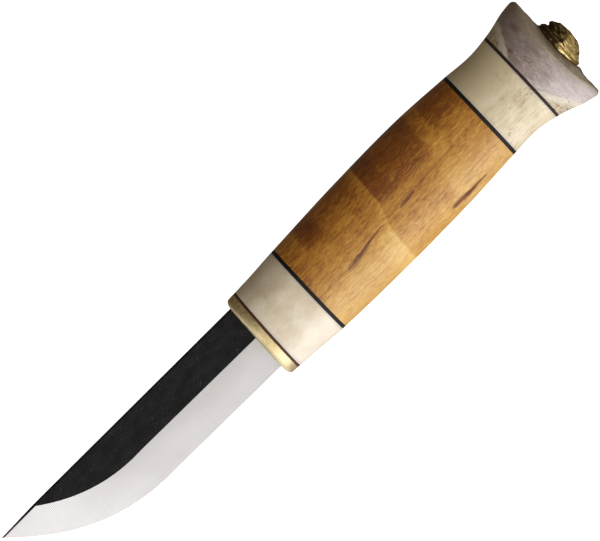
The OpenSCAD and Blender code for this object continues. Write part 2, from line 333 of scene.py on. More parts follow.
def tang_slot(x, lean=0.0):
    """A ring of the filed slot, a rectangle with slightly rounded corners."""
    half_w = TANG_W / 2 + SLOT_PLAY
    half_t = TANG_T / 2 + SLOT_PLAY
    c, s = np.cos(ANGLES), np.sin(ANGLES)
    power = SLOT_CORNER_POWER
    reach = (np.abs(c / half_w) ** power + np.abs(s / half_t) ** power) ** (-1 / power)
    y = tang_y(x) + reach * c
    return np.stack([x + lean * y, y, reach * s], 1)


def corner_rings(x, way, run, cut, lean, steps):
    """Rings over a rounded corner at a block's end, from its face out to its side."""
    return [
        skin(x + way * run * (1 - math.sin(t)), cut * (1 - math.cos(t)), lean)
        for t in np.linspace(math.pi / 2, 0, steps)
    ]


def softened(x, way, lean):
    """The slightly rounded corner at a block's end; way is 1 at its front and -1 at its back."""
    return corner_rings(x, way, SEAM_SOFTEN, SEAM_SOFTEN, lean, 3)


def block(name, hole, x0, lean0, x1, lean1):
    """A handle block with a hole for the tang, from one seam to the next."""
    count = max(2, math.ceil((x1 - x0) / RING_STEP))
    shares = np.arange(1, count) / count
    outside = [skin(mix(x0, x1, k), 0, mix(lean0, lean1, k)) for k in shares]
    inside = [hole(mix(x1, x0, k), mix(lean1, lean0, k)) for k in (0, 0.5, 1)]
    front = softened(x0, 1, lean0)
    back = softened(x1, -1, lean1)[::-1]
    return pipe_object(name, front + outside + back + inside)


# ---- Bolster and butt ----

def make_bolster():
    """Brass plate: a rounded rim in front, flat behind, and the slot for the tang."""
    rim = corner_rings(0, 1, RIM_RUN, RIM_CUT, LEAN, 14)
    side = [skin(x, 0, LEAN) for x in np.linspace(RIM_RUN, LINER_X, 6)[1:-1]]
    back = softened(LINER_X, -1, LEAN)[::-1]
    inside = [tang_slot(x, LEAN) for x in (LINER_X, LINER_X / 2, 0)]
    return pipe_object("bolster_plate", rim + side + back + inside)


def end_surface(z):
    """Where the butt's curved end lies along X."""
    return END_X - END_R + np.sqrt(END_R**2 - z**2)


def end_relief(y, z, k):
    """Unevenness of the butt's end, fading out at its rim and at the recess."""
    lump = LUMP_H * hump(np.hypot(y - LUMP_Y, z - LUMP_Z), LUMP_R)
    waves = -SAW_WAVE * (1 + np.sin(1.9 * y + 0.8 * z))
    return (lump + waves) * smooth(np.minimum(k, 1 - k) * 8)


def end_ring(back, inset):
    """A ring of the skin that stays a distance short of the butt's end."""
    z = skin(END_X - HORN_RUN, inset)[:, 2]
    for _ in range(4):
        ring = skin(end_surface(z) - back, inset)
        z = ring[:, 2]
    return np.stack([end_surface(z) - back, ring[:, 1], z], 1)


def make_antler_butt():
    """Flared butt: its end is curved, its horns are rounded, and a recess takes the rivet."""
    horn_share = np.abs(np.cos(ANGLES)) ** 3
    run = mix(SIDE_RUN, HORN_RUN, horn_share)
    cut = mix(SIDE_CUT, HORN_CUT, horn_share)
    corner = end_ring(run, 0)
    steps = math.ceil((END_X - BUTT_X) / RING_STEP)
    sides = [skin(mix(BUTT_X, corner[:, 0], k), 0) for k in np.arange(1, steps + 1) / steps]
    rim = [end_ring(run * (1 - math.sin(t)), cut * (1 - math.cos(t)))
           for t in np.linspace(0, math.pi / 2, 12)[1:]]
    outline = rim[-1]
    recess = round_hole(END_X, RECESS_R)
    face = []
    for k in np.linspace(0, 1, 44)[1:]:
        y = mix(outline[:, 1], recess[:, 1], k)
        z = mix(outline[:, 2], recess[:, 2], k)
        face.append(np.stack([end_surface(z) + end_relief(y, z, k), y, z], 1))
    floor_x = END_X - RECESS_DEPTH
    inside = [round_hole(floor_x, RECESS_R)]
    inside += [round_hole(mix(floor_x, BUTT_X, k), SHANK_HOLE_R) for k in (0, 0.5, 1)]
    front = softened(BUTT_X, 1, 0)
    return pipe_object("crown_butt", front + sides + rim + face + inside)


# ---- Cap ----

def lumpy(points, scale, seed):
    """Smooth noise from -1 to 1 at each point; scale is the size of its features."""
    shift = Vector((seed * 17.3, seed * 5.1, seed * 9.7))
    return np.array([
        noise.fractal(Vector(p) / scale + shift, 0.6, 2.1, 3, noise_basis="PERLIN_ORIGINAL")
        for p in points
    ])


def cap_outline(h, angles):
    """A ring of the plain dome at a share of its height."""
    edge_side = np.interp(h, CAP_OUTLINE[:, 0], CAP_OUTLINE[:, 1])
    spine_shade = np.interp(h, CAP_OUTLINE[:, 0], CAP_OUTLINE[:, 2])
    half_t = CAP_HALF_T * (1 - h**2.2) ** 0.5
    reach = np.where(np.cos(angles) > 0, spine_shade, edge_side)
    y = CAP_MID_Y + reach * np.cos(angles)
    return np.stack([END_X + CAP_H * h + 0 * angles, y, half_t * np.sin(angles)], 1)


def angle_gap(angles, middle_deg):
    """Smallest difference between angles and a direction in degrees."""
    gap = angles - math.radians(middle_deg)
    return np.abs((gap + math.pi) % (2 * math.pi) - math.pi)


def flattened(points, height):
    """Pushes what stands past each worn flat back towards it, less so at the cap's foot."""
    share = 0.85 * smooth(height / 0.3 + 0.15)
    for direction, reach in CAP_FLATS:
        n = unit(np.array(direction))
        past = np.maximum((points - CAP_MIDDLE) @ n - reach, 0)
        points = points - share * past[:, None] * n
    return points


def casting_depth(ring, h, angles):
    """How deep folds, groove, notch and pit cut into a ring of the dome."""
    up = ring[:, 0] - END_X
    y, z = ring[:, 1], ring[:, 2]
    # Folds of the casting run across the knife, deeper on the spine side
    spine_share = smooth((y - CAP_MID_Y + 1.5) / 4)
    wander = 0.5 * lumpy(ring * [1, 0.4, 0.4], 1.6, 3)
    folds = 0.5 - 0.5 * np.sin(FOLD_RATE * (ring[:, 0] + wander))
    fold = (FOLD_DEPTH + FOLD_SPINE_DEPTH * spine_share) * (1 - h**6) * folds**1.5
    deep, place, half = GROOVE
    groove = deep * hump(up + 0.25 * wander - place, half) * hump(y - GROOVE_Y, GROOVE_REACH) * (z > 0)
    deep, place, half = NOTCH
    sector = hump(angle_gap(angles, NOTCH_DEG), math.radians(NOTCH_REACH_DEG))
    notch = deep * hump(up - place, half) * sector
    deep, place, half = PIT
    pit = deep * hump(np.hypot(up - place, y - PIT_Y), half) * (z > 0)
    return fold + groove + notch + pit


def cap_underside(base, angles):
    """Rings from the cap's foot down to the butt, and over the hollow spigot in the recess."""
    under = base.copy()
    under[:, 0] = end_surface(under[:, 2]) + 0.02
    low_rim = base.copy()
    low_rim[:, 0] = np.maximum(mix(base[:, 0], under[:, 0], 0.5), under[:, 0] + 0.05)
    spigot_r = RECESS_R - SPIGOT_PLAY
    hollow_r = spigot_r - SPIGOT_WALL
    spigot_x = END_X - RECESS_DEPTH + WASHER_T
    hollow_x = spigot_x + RIVET_H + RIVET_ROOM
    spigot_top = round_hole(END_X, spigot_r, 0, angles)
    spigot_top[:, 0] = end_surface(spigot_top[:, 2])
    hollow = [(spigot_x, hollow_r), (hollow_x, hollow_r), (hollow_x, hollow_r / 3)]
    spigot = [round_hole(x, r, 0, angles) for x, r in [(spigot_x, spigot_r)] + hollow]
    return [low_rim, under, spigot_top] + spigot


def make_cap():
    """Rough cast brass cap: a lopsided dome with folds, pits and a spigot in the recess."""
    sides = 360
    angles = np.arange(sides) * 2 * math.pi / sides
    rings = []
    depths = []
    for h in np.sin(np.linspace(math.pi / 2 * 0.99, 0, 120)):
        ring = cap_outline(h, angles)
        lumps = sum(height * lumpy(ring, scale, seed) for height, scale, seed in CAP_LUMPS)
        depth = casting_depth(ring, h, angles)
        out = unit_rows(ring - CAP_MIDDLE)
        swollen = ring + out * (lumps * (1 - h**8))[:, None]
        rings.append(flattened(swollen, h) - out * depth[:, None])
        depths.append(depth + 0.4 * np.maximum(-lumps, 0))
    underside = cap_underside(rings[-1], angles)
    # The two lowest rings outside are as dirty as the foot, and the rest is clean
    depths += [depths[-1]] * 2 + [0 * angles] * (len(underside) - 2)
    return plug_object("cast_cap", rings + underside, 40, depths)


# ---- Blade ----

def bezier(u):
    p = BELLY
    return (1 - u)**3 * p[0] + 3 * u * (1 - u)**2 * p[1] + 3 * u * u * (1 - u) * p[2] + u**3 * p[3]


def bezier_dir(u):
    p = BELLY
    return unit((1 - u)**2 * (p[1] - p[0]) + 2 * u * (1 - u) * (p[2] - p[1]) + u * u * (p[3] - p[2]))


def inward(u):
    d = bezier_dir(u)
    return np.array([d[1], -d[0]])


def foot(p):
    """Where on the belly a given point is faced squarely, found by halving."""
    a, b = 0.0, 1.0
    for _ in range(40):
        u = (a + b) / 2
        a, b = (u, b) if (p - bezier(u)) @ bezier_dir(u) > 0 else (a, u)
    return u


def on_heel(p, d):
    """Where a line meets the leaning plane of the bolster's front face."""
    return p + d * (LEAN * p[1] - p[0]) / (d[0] - LEAN * d[1])


def on_flat_border(p, d):
    """Where a line meets the flat's upper border between its bend and the tip."""
    e = TIP - FLAT_BEND
    gap = FLAT_BEND - p
    return p + d * (gap[0] * e[1] - gap[1] * e[0]) / (d[0] * e[1] - d[1] * e[0])


def blade_stations():
    """For each station: edge point, grind point, flat border, spine point, and half thickness."""
    run_u = foot(FLAT_BEND)
    run_w = np.linalg.norm(FLAT_BEND - bezier(run_u))
    half = BLADE_T / 2
    belly_grind = bezier(0) + inward(0) * BEVEL_W
    border_root = np.array([0, SPINE_Y - SPINE_CHAMFER])
    spine_root = np.array([0, SPINE_Y])
    heel_edge = on_heel(bezier(0), bezier_dir(0))
    heel_grind = on_heel(belly_grind, bezier_dir(0))
    heel_spine = on_heel(spine_root, SPINE_BEND - spine_root)
    heel_border = on_heel(border_root, FLAT_BEND - border_root)
    places = []
    for k in np.arange(STRAIGHT_STATIONS) / STRAIGHT_STATIONS:
        places.append((mix(heel_edge, bezier(0), k), mix(heel_grind, belly_grind, k)))
    for u in run_u * np.arange(BELLY_STATIONS + 1) / BELLY_STATIONS:
        width = mix(BEVEL_W, run_w, u / run_u)
        places.append((bezier(u), bezier(u) + inward(u) * width))
    rows = []
    last = len(places) - 1
    for i, (edge, grind) in enumerate(places):
        share = (heel_edge[0] - edge[0]) / (heel_edge[0] - bezier(run_u)[0])
        k = i / last if share > 1 else share
        border = mix(heel_border, FLAT_BEND, k)
        rows.append((edge, grind, border, mix(heel_spine, SPINE_BEND, k), half))
    for u in mix(run_u, 1, np.arange(1, POINT_STATIONS) / POINT_STATIONS):
        edge = bezier(u)
        grind = on_flat_border(edge, inward(u))
        k = np.linalg.norm(grind - FLAT_BEND) / np.linalg.norm(TIP - FLAT_BEND)
        thin = half * np.linalg.norm(grind - edge) / run_w
        rows.append((edge, grind, grind, mix(SPINE_BEND, TIP, k), thin))
    return rows


def micro_width(edge):
    """Width of the fine edge bevel at a point of the cutting edge."""
    towards_tip = smooth((-edge[0] - 0.4 * BLADE_LEN) / (0.5 * BLADE_LEN))
    return mix(MICRO_W, MICRO_TIP_W, towards_tip)


def make_blade_body():
    """The ground blade in front of the bolster: bevels, flats, chamfered spine and point."""
    rings = []
    for edge, grind, border, spine, half in blade_stations():
        width = np.linalg.norm(grind - edge)
        micro_share = min(micro_width(edge) / width, 0.5)
        micro_half = half * micro_share * MICRO_LIFT
        chamfer = SPINE_CHAMFER / 2 * half / (BLADE_T / 2)
        upper = [(edge, EDGE_THICKNESS / 2), (mix(edge, grind, micro_share), micro_half)]
        for share in BEVEL_SHARES:
            k = mix(micro_share, 1, share)
            upper.append((mix(edge, grind, k), mix(micro_half, half, share)))
        upper.append((grind, half))
        upper += [(mix(grind, border, share), half) for share in FLAT_SHARES]
        upper += [(border, half), (spine, half - chamfer)]
        ring = [(*p, z) for p, z in upper] + [(*p, -z) for p, z in reversed(upper)]
        rings.append(np.array(ring))
    point = np.array([[*TIP, 0.0]] * len(rings[0]))
    return plug_object("blade_body", rings + [point], 4)


def tang_ring(x):
    """The four corners of the flat tang, slightly broken."""
    back_x = END_X - SHANK_LEN
    half_w = mix(TANG_W, TANG_END_W, np.clip(x / back_x, 0, 1)) / 2
    half_t = TANG_T / 2
    corners = [(half_w, half_t - TANG_BROKEN), (half_w - TANG_BROKEN, half_t)]
    corners += [(-w, t) for w, t in reversed(corners)]
    corners += [(w, -t) for w, t in reversed(corners)]
    return np.array([[x, tang_y(x) + w, t] for w, t in corners])


def joined(name, objects):
    """One closed piece from several that overlap."""
    whole = objects[0]
    for other in objects[1:]:
        cut = whole.modifiers.new("join", "BOOLEAN")
        cut.operation = "UNION"
        cut.solver = "EXACT"
        cut.object = other
        graph = bpy.context.evaluated_depsgraph_get()
        mesh = bpy.data.meshes.new_from_object(whole.evaluated_get(graph), depsgraph=graph)
        whole.modifiers.clear()
        whole.data = mesh
        bpy.data.objects.remove(other)
    whole.name = name
    return whole


def make_blade():
    """Ground blade, flat tang, round shank and riveted head as one piece."""
    back_x = END_X - SHANK_LEN
    washer_top_x = END_X - RECESS_DEPTH + WASHER_T
    turns = np.arange(48) * 2 * math.pi / 48

    def round_part(name, places):
        return plug_object(name, [round_hole(x, r, 0, turns) for x, r in places])

    tang = plug_object("tang", [tang_ring(x) for x in np.linspace(-TANG_ROOT, back_x, 24)])
    shank = round_part("shank", [(x, SHANK_R) for x in np.linspace(back_x - 1, washer_top_x + 0.3, 12)])
    head_profile = [
        (0, RIVET_R), (0.45, RIVET_R), (0.85, mix(RIVET_R, RIVET_TOP_R, 0.6)), (1, RIVET_TOP_R),
    ]
    head = round_part("head", [(washer_top_x + RIVET_H * k, r) for k, r in head_profile])
    return joined("blade_and_tang", [make_blade_body(), tang, shank, head])


# ---- Materials ----

def srgb(r, g, b):
    """A colour from its usual 0 to 255 values."""
    def linear(c):
        c /= 255
        return c / 12.92 if c <= 0.04045 else ((c + 0.055) / 1.055) ** 2.4
    return (linear(r), linear(g), linear(b), 1)


def triple(size):
    """One number for all axes, one along and one across the knife, or one for each axis."""
    if isinstance(size, tuple):
        return (size[0], size[1], size[-1])
    return (size, size, size)


class Value:
    """The output of a node; arithmetic with it adds more nodes."""

    def __init__(self, nodes, socket):
        self.nodes = nodes
        self.socket = socket

    def __add__(self, other):
        return self.nodes.math("ADD", self, other)

    def __sub__(self, other):
        return self.nodes.math("SUBTRACT", self, other)

    def __rsub__(self, other):
        return self.nodes.math("SUBTRACT", other, self)

    def __mul__(self, other):
        return self.nodes.math("MULTIPLY", self, other)

    __radd__ = __add__

    def ease(self, start, end, least=0.0, most=1.0):
        """Least before start, most after end, with a soft turn between; start may be the larger."""
        limits = {"Value": self, "From Min": start, "From Max": end, "To Min": least, "To Max": most}
        return self.nodes.node("MapRange", limits, interpolation_type="SMOOTHSTEP")

    def band(self, middle, half, soft):
        """1 within half of the middle, falling to 0 over soft."""
        return self.nodes.math("ABSOLUTE", self - middle).ease(half + soft, half)

    def swing(self, amount):
        """What noise adds when it swings about nought by up to half the amount."""
        return (self - 0.5) * amount


class Nodes:
    """A node tree, and the ways to add to it."""

    def __init__(self, tree):
        self.tree = tree

    def feed(self, socket, value):
        if isinstance(value, Value):
            self.tree.links.new(value.socket, socket)
        else:
            socket.default_value = value

    def node(self, kind, inputs=None, output=0, **settings):
        made = self.tree.nodes.new("ShaderNode" + kind)
        for key, value in settings.items():
            setattr(made, key, value)
        for key, value in (inputs or {}).items():
            self.feed(made.inputs[key], value)
        return Value(self, made.outputs[output])

    def math(self, operation, a, b=0.0, clamp=False):
        return self.node("Math", {0: a, 1: b}, operation=operation, use_clamp=clamp)

    def vector(self, operation, a, b, output=0):
        return self.node("VectorMath", {0: a, 1: b}, output=output, operation=operation)

    def blend(self, share, a, b):
        return self.node("Mix", {0: share, 6: a, 7: b}, output=2, data_type="RGBA")


class Paint(Nodes):
    """A material in the making.

    Colours are given by their usual 0 to 255 values, and a rate is a count of features in a
    millimetre.
    """

    def __init__(self, name, roughness=0.5, metallic=0.0, specular=0.5, coat=0.0, coat_roughness=0.1):
        self.material = bpy.data.materials.new(name)
        self.material.use_nodes = True
        super().__init__(self.material.node_tree)
        self.shader = self.tree.nodes["Principled BSDF"]
        self.set("Roughness", roughness)
        self.set("Metallic", metallic)
        self.set("Specular IOR Level", specular)
        self.set("Coat Weight", coat)
        self.set("Coat Roughness", coat_roughness)
        spot = self.node("TexCoord", output="Object")
        self.mm = self.node("VectorMath", {0: spot, "Scale": 1 / MM}, operation="SCALE")
        self.x, self.y, self.z = (self.node("SeparateXYZ", {0: self.mm}, output=i) for i in range(3))

    def set(self, socket, value):
        self.feed(self.shader.inputs[socket], value)

    def rated(self, rate, vector=None):
        """Coordinates multiplied by a rate."""
        return self.vector("MULTIPLY", vector or self.mm, triple(rate))

    def turned(self, degrees, vector=None):
        """Coordinates turned about Z."""
        inputs = {"Vector": vector or self.mm, "Axis": (0, 0, 1), "Angle": math.radians(degrees)}
        return self.node("VectorRotate", inputs, rotation_type="AXIS_ANGLE")

    def noise(self, rate, detail=3.0, rough=0.5, distortion=0.0, vector=None, output=0):
        inputs = {"Vector": self.rated(rate, vector), "Scale": 1.0, "Detail": detail,
                  "Roughness": rough, "Distortion": distortion}
        return self.node("TexNoise", inputs, output=output)

    def cells(self, rate, vector=None):
        """Distance from the nearest of many scattered points, in cell widths."""
        return self.node("TexVoronoi", {"Vector": self.rated(rate, vector), "Scale": 1.0})

    def bent(self, amount, rate, detail=2.0):
        """The millimetre coordinates, pushed about so that no line of a pattern is straight."""
        push = self.vector("SUBTRACT", self.noise(rate, detail, output=1), (0.5, 0.5, 0.5))
        return self.vector("ADD", self.mm, self.vector("MULTIPLY", push, triple(amount)))

    def away(self, point, rates):
        """Distance from a point, with each axis multiplied by its rate."""
        scaled = tuple(p * r for p, r in zip(point, rates))
        return self.vector("DISTANCE", self.rated(rates), scaled, output=1)

    def ramp(self, value, *stops):
        made = self.tree.nodes.new("ShaderNodeValToRGB")
        elements = made.color_ramp.elements
        while len(elements) < len(stops):
            elements.new(1)
        for element, (position, colour) in zip(elements, stops):
            element.position = position
            element.color = srgb(*colour)
        self.feed(made.inputs[0], value)
        return Value(self, made.outputs[0])

    def tinted(self, colour, *tints):
        """The colour after each tint in turn: what it is pulled towards, and by what share."""
        for towards, share in tints:
            colour = self.blend(share, colour, srgb(*towards))
        return colour

    def finish(self, colour, roughness, height, depth):
        """The whole material; height is its relief, and depth how deep that is in millimetres."""
        self.set("Base Color", colour)
        self.set("Roughness", roughness)
        relief = {"Height": height, "Distance": depth * MM, "Strength": 1.0}
        self.set("Normal", self.node("Bump", relief))
        return self.material


def streak(p, x0, y0, x1, y1, half, wobble, fray):
    """A dark lens along the grain from one point to another, up to twice half thick."""
    t = p.math("DIVIDE", p.x - x0, x1 - x0, clamp=True)
    off = p.math("ABSOLUTE", p.y - (t * (y1 - y0) + y0) + wobble)
    taper = p.math("SQRT", t * 4.0 * (1.0 - t))
    inside = p.math("DIVIDE", off, taper * half + 0.001)
    return (inside + fray).ease(1.5, 0.3) * taper.ease(0.05, 0.7)


# Birch figure, in millimetres. Patches: their two ends along the knife and how softly each
# fades, where they start towards the spine and over what distance, and how dark they are
BIRCH_PATCHES = [
    (24.2, 3.0, 29.6, 3.0, 8.0, 3.0, 0.2), (29.5, 3.0, 42.5, 3.0, 9.6, 4.0, 0.07),
    (45.4, 0.7, 51.0, 3.2, 3.2, 2.6, 0.08), (45.4, 0.7, 63.4, 2.4, 3.6, 1.8, 0.1),
    (67.6, 1.6, 78.5, 2.4, 8.6, 3.0, 0.1), (15.0, 1.0, 20.5, 4.0, -3.0, 4.0, 0.05),
    (45.4, 1.2, 63.0, 4.0, -11.0, 3.0, 0.06), (15.0, 1.0, 24.5, 3.0, 6.0, 4.0, -0.07),
]
# Pale bands across: their two ends and how softly each fades, and how pale they are
BIRCH_BANDS = [(44.0, 2.4, 45.3, 0.7, 0.08), (63.6, 1.6, 67.6, 1.6, 0.05)]
# The pale area on the edge side that ends at the first band, and the warm wood after it
PALE_ENDS, PALE_AMOUNT = (40.0, 5.0, 45.2, 1.6), 0.16
WARM_ENDS = (45.4, 1.2, 63.0, 4.0)
# Streaks along the grain: ends, half thickness, and how strong they are
BIRCH_STREAKS = [
    (28.0, -3.3, 36.5, -2.0, 0.95, 0.55), (30.2, -2.8, 38.0, -1.6, 0.5, 0.75),
    (31.5, -2.4, 43.2, -0.6, 0.32, 0.9), (48.2, -0.5, 54.2, 0.1, 0.42, 0.95),
    (57.6, -9.6, 66.6, -9.6, 0.6, 0.95), (61.0, -9.5, 70.2, -9.3, 0.34, 0.9),
    (17.5, -3.3, 31.5, -2.9, 0.15, 0.5), (53.0, 0.1, 79.5, 3.1, 0.16, 0.5),
    (17.5, 8.1, 28.0, 7.9, 0.14, 0.35), (62.0, -6.2, 79.0, -5.4, 0.14, 0.3),
    (22.0, -9.0, 40.0, -9.4, 0.12, 0.3),
]


def birch_material():
    """Curly birch: fine wavy grain along the handle, soft patches, and a few dark streaks."""
    p = Paint("curly_birch", roughness=0.42, specular=0.4, coat=0.15, coat_roughness=0.3)
    bent = p.turned(-4, p.bent((1.5, 1.6), 0.16, 3.0))
    fibre = p.noise((0.3, 3.2), 4.0, 0.65, 0.4, bent)
    grain = p.noise((0.06, 0.75), 4.0, 0.6, 0.8, bent)
    swirl = p.noise((0.36, 0.95), 5.0, 0.68, 1.6, bent)
    curl = p.noise((0.3, 0.14), 3.0, 0.5, 0.4, bent)
    wave = p.noise((0.7, 1.3), 4.0, 0.65, 0.0, bent)
    broad = p.noise((0.07, 0.12), 2.0)
    # The last term is painted light: a little paler towards the edge side, where the light falls
    tone = (0.5 + fibre.swing(0.74) + grain.swing(0.36) + swirl.swing(0.52) + curl.swing(0.16)
            + broad.swing(0.25) + wave.swing(0.26) + p.y.ease(2.5, -4.0) * 0.08)
    # The figure's borders run across the handle, and step back below its middle
    step = p.y.ease(5.0, -4.5) * 2.0
    cross = p.x - p.y * 0.04 + step + curl.swing(0.8) + wave.swing(0.7)
    ragged = curl.swing(2.0) + wave.swing(1.6)

    def between(x0, soft0, x1, soft1):
        half0, half1 = soft0 / 2, soft1 / 2
        return cross.ease(x0 - half0, x0 + half0) * cross.ease(x1 + half1, x1 - half1)

    # Painted shade: darker towards the spine; the patches added to it below are the wood's figure
    dark = p.y.ease(-1.0, 11.0) * 0.12
    for *ends, start, reach, amount in BIRCH_PATCHES:
        across = (p.y + ragged).ease(start - reach / 2, start + reach / 2)
        dark += between(*ends) * across * amount
    pale = between(*PALE_ENDS) * p.y.ease(1.0, -6.0) * PALE_AMOUNT
    for *ends, amount in BIRCH_BANDS:
        pale += between(*ends) * amount
    colour = p.ramp(tone + pale - dark, (0.0, (84, 42, 10)), (0.28, (128, 74, 18)),
                    (0.5, (173, 121, 41)), (0.68, (197, 151, 66)), (0.95, (226, 196, 124)))
    # Painted sheen: paler towards the edge side, where the light falls, less so in the warm wood
    painted_sheen = 0.42 + fibre.swing(1.2) + swirl.swing(0.3) - between(*WARM_ENDS) * 0.2
    colour = p.tinted(colour, ((207, 177, 123), p.y.ease(1.0, -9.0) * painted_sheen))

    # Dark streaks along the grain, on the upper side only
    upper = p.z.ease(-1.0, 2.0)
    stain = p.blend(wave.ease(0.35, 0.65), srgb(116, 62, 20), srgb(78, 34, 14))
    wobble, fray = grain.swing(0.9), fibre.swing(1.6)
    for *shape, strength in BIRCH_STREAKS:
        colour = p.blend(streak(p, *shape, wobble, fray) * upper * strength, colour, stain)
    # Small flecks all round, as in any piece of birch
    fleck = p.noise((0.28, 1.9), 2.0, vector=bent)
    colour = p.tinted(colour, ((120, 70, 30), fleck.ease(0.7, 0.78) * 0.3))
    return p.finish(colour, 0.36 + fibre * 0.16, fibre * 0.6 + swirl * 0.5, 0.06)


def near_seams(p, *seams):
    """1 right at a seam, fading within a millimetre along the handle."""
    return sum(p.x.band(seam, 0.0, 0.9) for seam in seams)


def front_antler_material():
    """Polished antler: dense and ivory, with soft grey-beige clouds."""
    p = Paint("front_antler", roughness=0.3, specular=0.45, coat=0.2, coat_roughness=0.15)
    bent = p.bent(2.0, 0.25)
    cloud = p.noise((0.16, 0.22), 4.0, 0.55, vector=bent)
    fine = p.noise((0.9, 1.5), 4.0, 0.6, vector=bent)
    colour = p.tinted(
        p.ramp(cloud * 0.8 + fine * 0.2, (0.25, (186, 173, 150)), (0.45, (207, 196, 174)),
               (0.6, (219, 210, 191)), (0.8, (230, 222, 206))),
        # Painted shade towards the spine, and painted light towards the edge side
        ((152, 143, 128), p.y.ease(2.0, 13.0) * 0.42),
        ((226, 220, 211), p.y.ease(-3.0, -10.0) * 0.5),
        ((150, 156, 166), near_seams(p, ANTLER_X, SPACER_X) * 0.35),
    )
    return p.finish(colour, 0.26 + fine * 0.14, fine + cloud, 0.03)


def rear_antler_material():
    """Polished antler, more yellow, with small brown pores towards the edge side."""
    p = Paint("rear_antler", roughness=0.33, specular=0.45, coat=0.15, coat_roughness=0.2)
    bent = p.bent(1.5, 0.3)
    cloud = p.noise((0.2, 0.24), 4.0, 0.6, vector=bent)
    fine = p.noise((1.0, 1.8), 4.0, 0.6, vector=bent)
    wavy = p.noise((0.22, 2.2), 4.0, 0.6, 0.8, bent)
    tone = cloud * 0.75 + fine * 0.25 + wavy.swing(p.y.ease(5.0, -3.0))
    porous = p.noise((0.24, 0.3), 2.0).ease(0.42, 0.6)
    pores = p.cells((0.55, 1.6), bent).ease(0.3, 0.1) * porous * p.y.ease(3.5, -1.0)
    colour = p.tinted(
        p.ramp(tone, (0.2, (160, 144, 112)), (0.45, (198, 186, 156)), (0.6, (210, 200, 175)),
               (0.85, (224, 216, 198))),
        # Painted shade towards the spine, and painted light towards the edge side
        ((138, 128, 110), p.y.ease(2.5, 14.0) * 0.38),
        ((218, 206, 188), p.y.ease(-3.0, -9.0) * 0.35),
        # Olive clouds on the spine side
        ((172, 158, 108), cloud.ease(0.4, 0.62) * p.y.ease(3.0, 8.0) * 0.4),
        ((146, 150, 158), near_seams(p, REAR_ANTLER_X, BUTT_LINER_X) * 0.35),
        ((116, 84, 56), pores * 0.55),
    )
    return p.finish(colour, 0.28 + fine * 0.16 + pores * 0.2, fine * 0.6 - pores, 0.04)


# Stains on the butt, in millimetres: middle, half sizes along X and Y, and strength
CROWN_STAINS = [
    (95.0, 9.0, 1.0, 1.4, 0.9), (94.2, 6.2, 1.4, 3.4, 0.5), (99.8, 12.6, 1.2, 2.4, 0.7),
    (99.3, 5.0, 1.6, 3.4, 0.5), (102.6, 16.2, 1.6, 1.8, 0.6), (97.2, 2.0, 1.6, 3.0, 0.3),
]
# Borders of its ivory corners, as lines a*x + b*y + c across the knife
CORNER_LINES = [(-0.877, 0.48, 78.25), (-0.856, -0.517, 78.31)]


